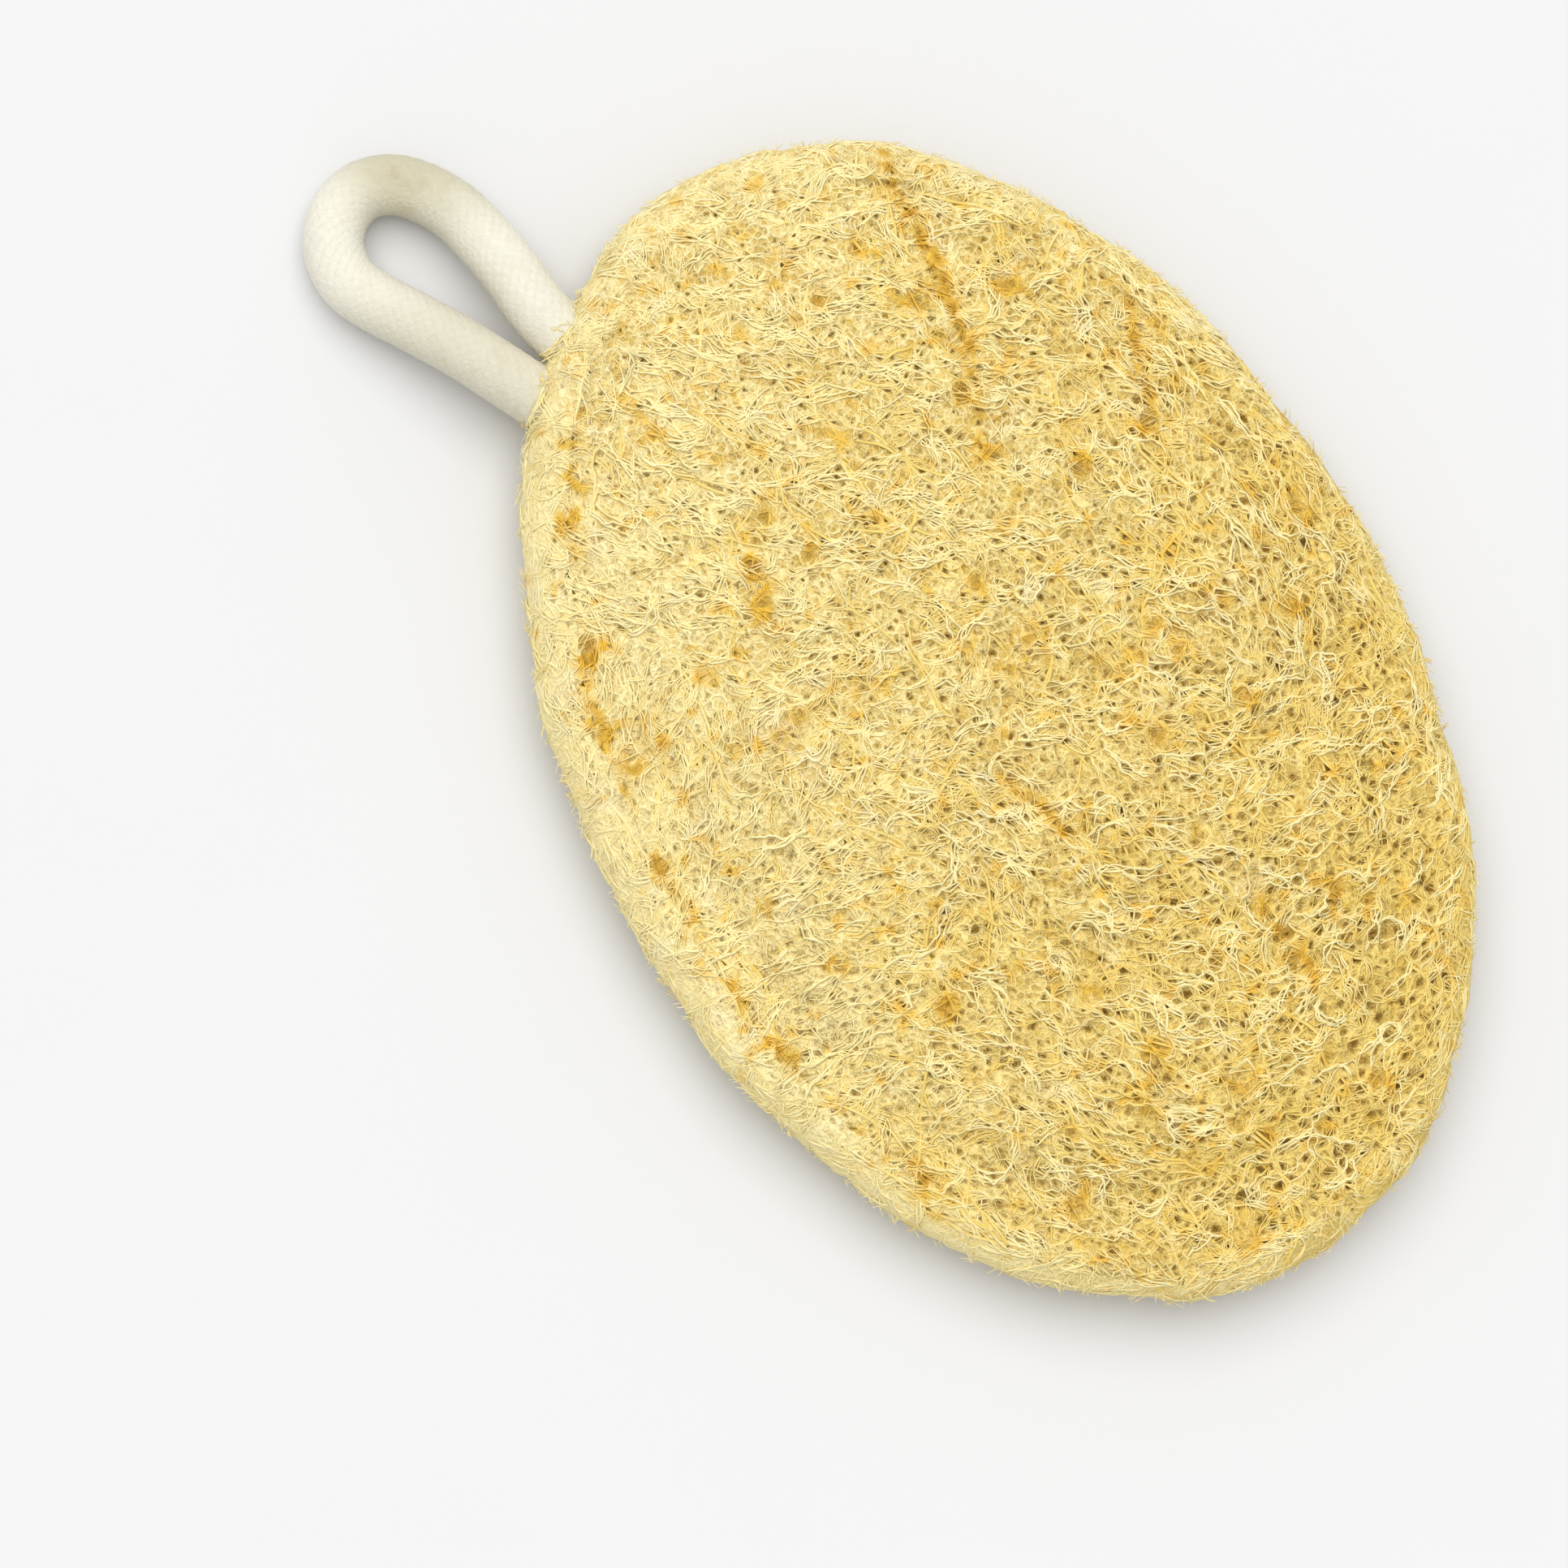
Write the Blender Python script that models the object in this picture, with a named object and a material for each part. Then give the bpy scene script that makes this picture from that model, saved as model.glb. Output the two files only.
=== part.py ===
# A natural loofah sponge: an oval pad of grown fibre net, with a cotton rope loop at one end to hang it by.
# The pad lies flat on its resting face at z = 0. +Y is its long axis, towards the loop, and +Z is up.
# All sizes are in metres.
import math
import random

import bmesh
import bpy
from mathutils import Vector

MM = 0.001

# The pad's outer size, with its rim roll and its two domed faces
PAD_WIDTH = 95.5 * MM
PAD_LENGTH = 140 * MM
PAD_THICKNESS = 17 * MM
SEAM_HEIGHT = 7.5 * MM
RIM_HALF_HEIGHT = 4.6 * MM
RIM_ROLL = 5.0 * MM
UNDERSIDE_DOME = 8.6 * MM
DOME_POWER = 2.6

# The channel just inside the rim roll, deeper along the -X side
CHANNEL_PLACE = 0.90
CHANNEL_WIDTH = 0.055
CHANNEL_DEPTH = 0.8 * MM
CHANNEL_SIDE_DEPTH = 0.5 * MM

# The net: ridges of fibre round pits with small floors, larger than life
NET_SEED = 11
PIT_COUNT = 690
PIT_SPACING = 4.5 * MM
RIDGE_UNEVENNESS = 0.22 * MM
PIT_SHALLOWEST = 1.2 * MM
PIT_DEEPEST = 2.1 * MM
RIM_PIT_SHARE = 0.5
FLOOR_SHARE = 0.55
FLAT_SPOT_RADIUS = 10 * MM

# The rope and the two pockets that its ends sit in
ROPE_RADIUS = 3.2 * MM
POCKET_GAP = 0.3 * MM
ROPE_STEP = 2.0 * MM
ROPE_RINGS = 5
ROOT_CENTRE = (-24.4 * MM, 60.2 * MM)
ROOT_SWELL = 1.7 * MM
ROOT_REACH = 11 * MM
ROOT_PITLESS = 8.5 * MM

# The outline's stitched waves: how many round the edge, how high, and their phase
EDGE_WAVES = (
    (3, 0.22 * MM, 2.3),
    (11, 0.22 * MM, 0.7),
    (19, 0.24 * MM, 4.1),
    (31, 0.22 * MM, 1.9),
)

# Broad low swellings of the two faces: direction in degrees, wavelength, height and phase
FACE_SWELLINGS = (
    (8, 27 * MM, 0.40 * MM, 0.4),
    (63, 34 * MM, 0.32 * MM, 2.2),
    (118, 22 * MM, 0.28 * MM, 5.0),
    (160, 41 * MM, 0.30 * MM, 3.1),
)

# Grooves along the grain of the upper face, in millimetres: route, depth, width
GROOVES = (
    (((20.0, 61.0), (19.4, 50.0), (17.4, 38.3), (11.9, 27.0)), 1.0, 2.6),
    (((36.2, 33.5), (33.8, 26.8), (30.6, 18.5)), 0.8, 2.4),
    (((-4.0, -6.5), (-1.0, -14.5)), 0.9, 2.8),
    (((14.0, -33.0), (15.4, -41.0)), 0.9, 2.8),
)

# The rope's route in millimetres, from one pocket round the loop to the other.
# Its middle lies on the surface that the pad lies on.
ROPE_ROUTE = (
    (-24.3, 52.4, 7.5),
    (-27.0, 57.7, 7.5),
    (-29.3, 62.3, 7.3),
    (-31.4, 66.6, 6.5),
    (-34.3, 71.7, 5.2),
    (-36.6, 75.6, 4.2),
    (-38.1, 79.2, 3.6),
    (-37.7, 83.1, 3.3),
    (-35.3, 86.1, 3.25),
    (-31.8, 87.3, 3.25),
    (-28.3, 86.3, 3.3),
    (-25.6, 83.6, 3.6),
    (-23.6, 79.8, 4.2),
    (-22.6, 75.2, 5.2),
    (-22.1, 70.7, 6.5),
    (-21.9, 66.6, 7.3),
    (-21.0, 62.6, 7.5),
    (-18.8, 57.2, 7.5),
)

FIBRE_COLOUR = (0.80, 0.62, 0.23, 1)
FIBRE_ROUGHNESS = 0.85
COTTON_COLOUR = (0.84, 0.82, 0.68, 1)
COTTON_ROUGHNESS = 0.9


def clear_scene():
    for item in list(bpy.data.objects):
        bpy.data.objects.remove(item, do_unlink=True)


def make_collection(name):
    group = bpy.data.collections.new(name)
    bpy.context.scene.collection.children.link(group)
    return group


def make_material(name, colour, roughness):
    material = bpy.data.materials.new(name)
    material.use_nodes = True
    shader = material.node_tree.nodes["Principled BSDF"]
    shader.inputs["Base Color"].default_value = colour
    shader.inputs["Roughness"].default_value = roughness
    shader.inputs["Metallic"].default_value = 0
    return material


def distance_to_route(x, y, route):
    """How far a point lies from a line of route points given in millimetres."""
    here = Vector((x, y))
    nearest = math.inf
    for first, second in zip(route, route[1:]):
        start = Vector(first) * MM
        along = Vector(second) * MM - start
        share = (here - start).dot(along) / along.length_squared
        share = min(max(share, 0), 1)
        nearest = min(nearest, (here - start - along * share).length)
    return nearest


def near_root(x, y, reach):
    """1 at the rope's root, falling to 0 well past the reach."""
    distance = math.hypot(x - ROOT_CENTRE[0], y - ROOT_CENTRE[1])
    return math.exp(-((distance / reach) ** 4))


def outline(angle):
    """The pad's edge in a direction: an oval with the seam's waves on it."""
    wave = sum(height * math.cos(count * angle + phase) for count, height, phase in EDGE_WAVES)
    point = Vector((PAD_WIDTH / 2 * math.cos(angle), PAD_LENGTH / 2 * math.sin(angle)))
    return point + point.normalized() * wave


def face_swelling(x, y):
    total = 0
    for degrees, wavelength, height, phase in FACE_SWELLINGS:
        turn = math.radians(degrees)
        across = x * math.cos(turn) + y * math.sin(turn)
        total += height * math.cos(2 * math.pi * across / wavelength + phase)
    return total


def groove_depth(x, y):
    total = 0
    for route, depth, width in GROOVES:
        total += depth * MM * math.exp(-((distance_to_route(x, y, route) / (width * MM)) ** 2))
    return total


def pad_point(direction, relief=True):
    """Where a direction from the middle of a ball lands on the pad, or on its plain domed shape.

    The share of the way from a face's middle to its edge keeps areas even, so the net is as fine
    at the middle as at the rim.
    """
    angle = math.atan2(direction.y, direction.x)
    edge = outline(angle)
    roll_share = RIM_ROLL / edge.length
    face_length = edge.length - RIM_ROLL
    roll_length = RIM_ROLL * math.pi / 2
    face_share = face_length / (face_length + roll_length)
    share = math.sqrt(max(1 - abs(direction.z), 0))
    upper = direction.z > 0
    dome = PAD_THICKNESS - SEAM_HEIGHT if upper else UNDERSIDE_DOME
    if share > face_share:
        turn = (share - face_share) / (1 - face_share) * math.pi / 2
        place = edge * (1 - roll_share + roll_share * math.sin(turn))
        half_height = RIM_HALF_HEIGHT * math.cos(turn)
        half_height += ROOT_SWELL * near_root(place.x, place.y, ROOT_REACH) * math.cos(turn)
    else:
        inward = share / face_share
        place = edge * (inward * (1 - roll_share))
        half_height = dome + (RIM_HALF_HEIGHT - dome) * inward ** DOME_POWER
        if relief:
            side = max(-math.cos(angle), 0)
            channel = CHANNEL_DEPTH + CHANNEL_SIDE_DEPTH * side
            half_height -= channel * math.exp(-(((inward - CHANNEL_PLACE) / CHANNEL_WIDTH) ** 2))
            half_height += ROOT_SWELL * near_root(place.x, place.y, ROOT_REACH)
            half_height += face_swelling(place.x, place.y) * (1 - inward ** 4)
            if upper:
                half_height -= groove_depth(place.x, place.y)
            else:
                half_height = min(half_height, SEAM_HEIGHT)
    height = half_height if upper else -half_height
    return Vector((place.x, place.y, SEAM_HEIGHT + height))


def scatter_pits(bm, chance):
    """Throws pits at the pad at random, and keeps each that lands clear of those before it."""
    landed = []
    while len(landed) < PIT_COUNT:
        direction = Vector(chance.gauss(0, 1) for _ in range(3)).normalized()
        place = pad_point(direction, relief=False)
        if all((place - other).length > PIT_SPACING for other in landed):
            landed.append(place)
            bm.verts.new(direction)


def make_net(bm, chance):
    """Covers the pad with cells whose edges meet three by three.

    The hull of the pits' directions is a ball of triangles, evened out on the pad. A ridge joint
    goes to every triangle's middle, and every edge is turned to join two of those joints, which
    leaves a ridge round each pit. The pits' own points then go.
    """
    scatter_pits(bm, chance)
    bmesh.ops.convex_hull(bm, input=bm.verts[:])
    bmesh.ops.recalc_face_normals(bm, faces=bm.faces[:])
    directions = [vert.co.copy() for vert in bm.verts]
    for vert in bm.verts:
        vert.co = pad_point(vert.co, relief=False)
    bmesh.ops.beautify_fill(bm, faces=bm.faces[:], edges=bm.edges[:], method="ANGLE")
    for vert, direction in zip(bm.verts, directions):
        vert.co = direction
    pits = bm.verts[:]
    spans = bm.edges[:]
    bmesh.ops.poke(bm, faces=bm.faces[:], center_mode="MEAN")
    bmesh.ops.rotate_edges(bm, edges=spans)
    for vert in bm.verts:
        vert.co = pad_point(vert.co.normalized())
    bmesh.ops.dissolve_verts(bm, verts=pits)


def on_flat_spot(place):
    return place.z < SEAM_HEIGHT and place.to_2d().length < FLAT_SPOT_RADIUS


def fit_to_size(bm):
    """Stretches the net by a hair, so that the pad has exactly its stated size, and presses it flat on z = 0."""
    low = Vector(min(vert.co[axis] for vert in bm.verts) for axis in range(3))
    high = Vector(max(vert.co[axis] for vert in bm.verts) for axis in range(3))
    middle = (low + high) / 2
    for vert in bm.verts:
        vert.co.x = (vert.co.x - middle.x) * PAD_WIDTH / (high.x - low.x)
        vert.co.y = (vert.co.y - middle.y) * PAD_LENGTH / (high.y - low.y)
        vert.co.z = max(vert.co.z * PAD_THICKNESS / high.z, 0)


def press_pits(bm, chance):
    """Sinks a small floor in every pit, and leaves the resting spot and the rope's root whole."""
    floors = bm.faces[:]
    bmesh.ops.inset_individual(bm, faces=floors, thickness=0, depth=0)
    for floor in floors:
        middle = floor.calc_center_median()
        depth = chance.uniform(PIT_SHALLOWEST, PIT_DEEPEST)
        depth *= 1 - near_root(middle.x, middle.y, ROOT_PITLESS)
        depth *= RIM_PIT_SHARE + (1 - RIM_PIT_SHARE) * abs(floor.normal.z) ** 2
        if on_flat_spot(middle):
            depth = 0
        sink = floor.normal * -depth
        for vert in floor.verts:
            vert.co = middle.lerp(vert.co, FLOOR_SHARE) + sink
    bmesh.ops.triangulate(bm, faces=bm.faces[:])


def build_pad(collection, material):
    chance = random.Random(NET_SEED)
    bm = bmesh.new()
    make_net(bm, chance)
    bm.normal_update()
    for vert in bm.verts:
        if not on_flat_spot(vert.co):
            vert.co += vert.normal * chance.uniform(-RIDGE_UNEVENNESS, RIDGE_UNEVENNESS)
    fit_to_size(bm)
    bm.normal_update()
    press_pits(bm, chance)
    mesh = bpy.data.meshes.new("loofah_pad")
    bm.to_mesh(mesh)
    bm.free()
    mesh.materials.append(material)
    pad = bpy.data.objects.new("loofah_pad", mesh)
    collection.objects.link(pad)
    return pad


def smooth_route(points, step):
    """A smooth curve through the route's points, read off at even steps."""
    ends = [points[0] * 2 - points[1]] + points + [points[-1] * 2 - points[-2]]
    fine = []
    parts = 24
    for before, start, stop, after in zip(ends, ends[1:], ends[2:], ends[3:]):
        for index in range(parts):
            t = index / parts
            bend = (2 * before - 5 * start + 4 * stop - after) * t * t
            twist = (3 * start - before - 3 * stop + after) * t ** 3
            fine.append((2 * start + (stop - before) * t + bend + twist) / 2)
    fine.append(points[-1])
    travelled = [0]
    for here, after in zip(fine, fine[1:]):
        travelled.append(travelled[-1] + (after - here).length)
    count = round(travelled[-1] / step)
    line = []
    place = 0
    for index in range(count + 1):
        wanted = travelled[-1] * index / count
        while place < len(fine) - 2 and travelled[place + 1] < wanted:
            place += 1
        share = (wanted - travelled[place]) / (travelled[place + 1] - travelled[place])
        line.append(fine[place].lerp(fine[place + 1], share))
    return line


def make_tube(name, line, radius, collection):
    curve = bpy.data.curves.new(name, "CURVE")
    curve.dimensions = "3D"
    curve.bevel_depth = radius
    curve.bevel_resolution = 4
    curve.use_fill_caps = True
    spline = curve.splines.new("POLY")
    spline.points.add(len(line) - 1)
    for point, place in zip(spline.points, line):
        point.co = (place.x, place.y, place.z, 1)
    spline.use_smooth = True
    tube = bpy.data.objects.new(name, curve)
    collection.objects.link(tube)
    return tube


def make_solid(tube, collection):
    """A closed mesh of a tube, its caps welded on, in place of the tube."""
    evaluated = tube.evaluated_get(bpy.context.evaluated_depsgraph_get())
    mesh = bpy.data.meshes.new_from_object(evaluated)
    bm = bmesh.new()
    bm.from_mesh(mesh)
    bmesh.ops.remove_doubles(bm, verts=bm.verts[:], dist=0.01 * MM)
    bmesh.ops.recalc_face_normals(bm, faces=bm.faces[:])
    bm.to_mesh(mesh)
    bm.free()
    solid = bpy.data.objects.new(tube.name + "_solid", mesh)
    solid.matrix_world = tube.matrix_world.copy()
    collection.objects.link(solid)
    bpy.data.objects.remove(tube, do_unlink=True)
    return solid


def cut_pocket(pad, name, line, collection):
    """A pocket in the rim that follows a rope end, a gap wider all round and at its floor."""
    inmost = line[0] + (line[0] - line[1]).normalized() * POCKET_GAP
    tube = make_tube(name, [inmost] + line[1:], ROPE_RADIUS + POCKET_GAP, collection)
    bpy.context.view_layer.update()
    cutter = make_solid(tube, collection)
    cutter.hide_render = True
    cutter.display_type = "WIRE"
    cut = pad.modifiers.new(name, "BOOLEAN")
    cut.operation = "DIFFERENCE"
    cut.solver = "EXACT"
    cut.object = cutter


def build_loop(collection, line, material):
    loop = make_tube("hanging_loop", line, ROPE_RADIUS, collection)
    loop.data.materials.append(material)


def main():
    clear_scene()
    parts = make_collection("loofah_sponge")
    cutters = make_collection("cutters")
    fibre = make_material("loofah_fibre", FIBRE_COLOUR, FIBRE_ROUGHNESS)
    cotton = make_material("cotton_rope", COTTON_COLOUR, COTTON_ROUGHNESS)
    pad = build_pad(parts, fibre)
    line = smooth_route([Vector(point) * MM for point in ROPE_ROUTE], ROPE_STEP)
    cut_pocket(pad, "first_pocket", line[:ROPE_RINGS], cutters)
    cut_pocket(pad, "second_pocket", line[::-1][:ROPE_RINGS], cutters)
    build_loop(parts, line, cotton)


main()
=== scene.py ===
# %% [markdown]
# # A natural loofah pad with a cotton loop
#
# The pad is the fibre net of a dried loofah fruit, pressed flat, cut to an oval and rolled in at
# the rim. A short cotton rope is tucked into the rim as a loop. This lesson starts from the plain
# solids of the part and dresses them: a felted ground, layers of fine fibre over it, and a braided
# rope. Nothing here moves or resizes the part.

# %% Load the plain part
import math

import bmesh
import bpy
import numpy as np
from mathutils import Matrix, Vector
from mathutils.kdtree import KDTree


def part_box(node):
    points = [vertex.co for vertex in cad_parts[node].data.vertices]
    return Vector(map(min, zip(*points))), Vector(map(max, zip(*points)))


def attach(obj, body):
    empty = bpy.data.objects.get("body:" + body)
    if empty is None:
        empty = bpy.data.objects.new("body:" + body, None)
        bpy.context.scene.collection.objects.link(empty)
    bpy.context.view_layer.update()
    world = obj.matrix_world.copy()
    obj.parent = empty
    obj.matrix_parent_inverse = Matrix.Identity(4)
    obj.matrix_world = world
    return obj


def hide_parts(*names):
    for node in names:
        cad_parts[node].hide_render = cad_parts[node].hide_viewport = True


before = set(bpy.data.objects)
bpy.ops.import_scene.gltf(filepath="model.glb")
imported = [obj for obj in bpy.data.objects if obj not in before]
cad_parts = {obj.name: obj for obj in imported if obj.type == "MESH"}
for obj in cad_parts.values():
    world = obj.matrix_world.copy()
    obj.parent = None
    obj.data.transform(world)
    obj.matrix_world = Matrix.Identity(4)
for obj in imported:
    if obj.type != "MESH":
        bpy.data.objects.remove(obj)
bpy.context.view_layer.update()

MM = 0.001
pad_low, pad_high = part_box("loofah_pad")
pad_size = pad_high - pad_low
print("pad, mm:", [round(side / MM, 1) for side in pad_size])

# %% [markdown]
# ## The camera
#
# The pad is seen from almost straight above, and a little from its loop's side, so that the rolled
# rim shows on that side only. A long lens keeps the oval free of perspective. The picture's own
# right and up directions are known in the part's axes, because the oval leans thirty degrees in it.
# The camera is built from those two directions and from the point that it looks at.

# %% Point the camera
LEAN = math.radians(30.6)
VIEW_TILT = math.radians(10)
TILT_RIGHT = -0.9
TILT_UP = -0.4
VIEW_DISTANCE = 0.9
FRAME_WIDTH = 175.1 * MM
PAD_FROM_FRAME_CENTRE = (24.6 * MM, 7.3 * MM)
SENSOR = 36

picture_right = Vector((math.cos(LEAN), -math.sin(LEAN), 0))
picture_up = Vector((math.sin(LEAN), math.cos(LEAN), 0))
aim = Vector((0, 0, pad_size.z / 2))
aim -= picture_right * PAD_FROM_FRAME_CENTRE[0] + picture_up * PAD_FROM_FRAME_CENTRE[1]
tilt_towards = (picture_right * TILT_RIGHT + picture_up * TILT_UP).normalized()
towards_eye = tilt_towards * math.sin(VIEW_TILT) + Vector((0, 0, math.cos(VIEW_TILT)))
camera_right = picture_up.cross(towards_eye).normalized()
camera_up = towards_eye.cross(camera_right)

camera_data = bpy.data.cameras.new("camera")
camera_data.sensor_width = SENSOR
camera_data.lens = SENSOR * VIEW_DISTANCE / FRAME_WIDTH
camera = bpy.data.objects.new("camera", camera_data)
bpy.context.scene.collection.objects.link(camera)
camera.matrix_world = Matrix.Translation(aim + towards_eye * VIEW_DISTANCE) @ Matrix(
    (camera_right, camera_up, towards_eye)
).transposed().to_4x4()
bpy.context.scene.camera = camera
print("lens, mm:", round(camera_data.lens))

# %% [markdown]
# ## Shader maths as Python
#
# A material is a graph of nodes, and a long graph is hard to read when it is built link by link.
# One small class wraps a socket, so that sums of textures are written as sums. A second class
# holds the material and adds every other kind of node.

# %% Wrap sockets
class Wire:
    """One output socket, with Python's operators standing for Math nodes."""

    def __init__(self, paint, socket):
        self.paint = paint
        self.socket = socket

    def maths(self, operation, first, second):
        """One Math node on two values or sockets."""
        return self.paint.node("ShaderNodeMath", {"operation": operation}, {0: first, 1: second})

    def __add__(self, other):
        return self.maths("ADD", self, other)

    __radd__ = __add__

    def __mul__(self, other):
        return self.maths("MULTIPLY", self, other)

    __rmul__ = __mul__

    def __sub__(self, other):
        return self.maths("SUBTRACT", self, other)

    def __rsub__(self, other):
        return self.maths("SUBTRACT", other, self)

    def between(self, low, high):
        """0 below low, 1 above high, and a smooth step from one to the other."""
        settings = {"interpolation_type": "SMOOTHSTEP"}
        values = {"Value": self, "From Min": low, "From Max": high}
        return self.paint.node("ShaderNodeMapRange", settings, values)


# %% Hold a material
class Paint:
    """A material, its Principled shader, and a way to add nodes to it."""

    def __init__(self, name):
        self.material = bpy.data.materials.new(name)
        self.material.use_nodes = True
        self.tree = self.material.node_tree
        self.shader = self.tree.nodes["Principled BSDF"]

    def node(self, kind, settings, values, output=0):
        """Adds a node, sets its settings first, then the values or links of its sockets."""
        made = self.tree.nodes.new(kind)
        for name, setting in settings.items():
            setattr(made, name, setting)
        for name, value in values.items():
            self.feed(made.inputs[name], value)
        return Wire(self, made.outputs[output])

    def feed(self, socket, value):
        if isinstance(value, Wire):
            self.tree.links.new(value.socket, socket)
        else:
            socket.default_value = value

    def place(self):
        return self.node("ShaderNodeTexCoord", {}, {}, "Object")

    def noise(self, grain, detail=2.0):
        """Cloudy noise from 0 to 1, with blobs of about the given size in metres."""
        values = {"Vector": self.place(), "Scale": 1 / grain, "Detail": detail}
        return self.node("ShaderNodeTexNoise", {}, values, "Fac")

    def axis(self, name):
        """How far each point lies along X, Y or Z, in metres."""
        return self.node("ShaderNodeSeparateXYZ", {}, {"Vector": self.place()}, name)

    def cells(self, size, warp):
        """A net of cells of about the given size: 0 on the net's strands, more inside its holes."""
        swirl_values = {"Vector": self.place(), "Scale": 0.8 / size}
        swirl = self.node("ShaderNodeTexNoise", {}, swirl_values, "Color")
        values = {0: swirl, 1: (warp, warp, warp), 2: self.place()}
        bent = self.node("ShaderNodeVectorMath", {"operation": "MULTIPLY_ADD"}, values)
        settings = {"feature": "DISTANCE_TO_EDGE"}
        net_values = {"Vector": bent, "Scale": 1 / size}
        return self.node("ShaderNodeTexVoronoi", settings, net_values, "Distance")

    def attribute(self, name):
        return self.node("ShaderNodeAttribute", {"attribute_name": name}, {}, "Fac")

    def mix(self, share, first, second):
        """From the first colour to the second as the share goes from 0 to 1."""
        values = {0: share, 6: first, 7: second}
        return self.node("ShaderNodeMix", {"data_type": "RGBA"}, values, 2)

    def bump(self, height, depth, strength):
        values = {"Height": height, "Distance": depth, "Strength": strength}
        return self.node("ShaderNodeBump", {}, values, "Normal")

    def finish(self, **sockets):
        """Feeds the shader's sockets, named with _ for each space, and returns the material."""
        for name, value in sockets.items():
            self.feed(self.shader.inputs[name.replace("_", " ")], value)
        return self.material


# %% [markdown]
# ## The cotton rope
#
# The rope is a soft braid of cotton yarns, 6.4 mm across. Both of its ends sit in the rim, and
# between them it makes one drop-shaped loop that lies down on the table. It could be a bevelled
# curve, but a bare tube looks like wire. Here the tube gets a fine mesh and every point of it is
# raised by the braid's own rule: two families of yarns wind left and right, and take turns on top.

# %% Read the rope's route
ROPE_ROUTE = (
    (-0.0243, 0.0524, 0.0075),
    (-0.027, 0.0577, 0.0075),
    (-0.0293, 0.0623, 0.0073),
    (-0.0314, 0.0666, 0.0065),
    (-0.0343, 0.0717, 0.0052),
    (-0.0366, 0.0756, 0.0042),
    (-0.0381, 0.0792, 0.0036),
    (-0.0377, 0.0831, 0.0033),
    (-0.0353, 0.0861, 0.00325),
    (-0.0318, 0.0873, 0.00325),
    (-0.0283, 0.0863, 0.0033),
    (-0.0256, 0.0836, 0.0036),
    (-0.0236, 0.0798, 0.0042),
    (-0.0226, 0.0752, 0.0052),
    (-0.0221, 0.0707, 0.0065),
    (-0.0219, 0.0666, 0.0073),
    (-0.021, 0.0626, 0.0075),
    (-0.0188, 0.0572, 0.0075),
)


SAMPLES_A_STRETCH = 24
RING_STEP = 0.35 * MM


def smooth_route(points, step):
    """A smooth curve through the route's points, read off at even steps."""
    points = np.array(points)
    ends = np.vstack((2 * points[0] - points[1], points, 2 * points[-1] - points[-2]))
    t = np.linspace(0, 1, SAMPLES_A_STRETCH, endpoint=False)[:, None]
    runs = []
    for before, start, stop, after in zip(ends, ends[1:], ends[2:], ends[3:]):
        bend = (2 * before - 5 * start + 4 * stop - after) * t**2
        twist = (3 * start - before - 3 * stop + after) * t**3
        runs.append((2 * start + (stop - before) * t + bend + twist) / 2)
    fine = np.vstack(runs + [points[-1:]])
    travelled = np.append(0, np.cumsum(np.linalg.norm(np.diff(fine, axis=0), axis=1)))
    wanted = np.linspace(0, travelled[-1], round(travelled[-1] / step) + 1)
    line = np.stack([np.interp(wanted, travelled, fine[:, axis]) for axis in range(3)], 1)
    return line, travelled[-1]


rope_line, rope_length = smooth_route(ROPE_ROUTE, RING_STEP)
print("rope length, mm:", round(rope_length / MM, 1))

# %% Sweep tubes along lines
def unit_section(sides):
    """A flat ring of the given sides and a radius of 1, to sweep along curves."""
    data = bpy.data.curves.new("section", "CURVE")
    ring = data.splines.new("POLY")
    ring.points.add(sides - 1)
    for index, point in enumerate(ring.points):
        turn = 2 * math.pi * index / sides
        point.co = (math.cos(turn), math.sin(turn), 0, 1)
    ring.use_cyclic_u = True
    return bpy.data.objects.new("section", data)


def sweep(name, lines, radii, sides, caps=False):
    """Tubes along lines of points, as one mesh, each point with its own radius in metres."""
    data = bpy.data.curves.new(name, "CURVE")
    data.dimensions = "3D"
    data.twist_mode = "MINIMUM"
    data.bevel_mode = "OBJECT"
    data.bevel_object = unit_section(sides)
    data.use_fill_caps = caps
    for line, radius in zip(lines, radii):
        spline = data.splines.new("POLY")
        spline.points.add(len(line) - 1)
        spline.points.foreach_set("co", np.column_stack((line, np.ones(len(line)))).ravel())
        spline.points.foreach_set("radius", radius)
    guide = bpy.data.objects.new(name, data)
    bpy.context.scene.collection.objects.link(guide)
    bpy.context.view_layer.update()
    evaluated = guide.evaluated_get(bpy.context.evaluated_depsgraph_get())
    mesh = bpy.data.meshes.new_from_object(evaluated)
    bpy.data.objects.remove(guide)
    bpy.data.objects.remove(data.bevel_object)
    bpy.data.curves.remove(data)
    return mesh


# %% Close and place the pieces
WELD_DISTANCE = 0.001 * MM


def close_up(mesh):
    """Welds the loose caps on and turns all faces outwards."""
    bm = bmesh.new()
    bm.from_mesh(mesh)
    bmesh.ops.remove_doubles(bm, verts=bm.verts[:], dist=WELD_DISTANCE)
    bmesh.ops.recalc_face_normals(bm, faces=bm.faces[:])
    bmesh.ops.triangulate(bm, faces=[face for face in bm.faces if len(face.verts) > 4])
    bm.to_mesh(mesh)
    bm.free()


def add_piece(name, mesh, material):
    """Makes a mesh a smooth piece that rides on the part, and prints its triangles."""
    piece = bpy.data.objects.new(name, mesh)
    bpy.context.scene.collection.objects.link(piece)
    mesh.materials.clear()
    mesh.materials.append(material)
    mesh.shade_smooth()
    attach(piece, "root")
    triangles = sum(len(face.vertices) - 2 for face in mesh.polygons)
    print(name, "triangles:", triangles)
    return piece


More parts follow.
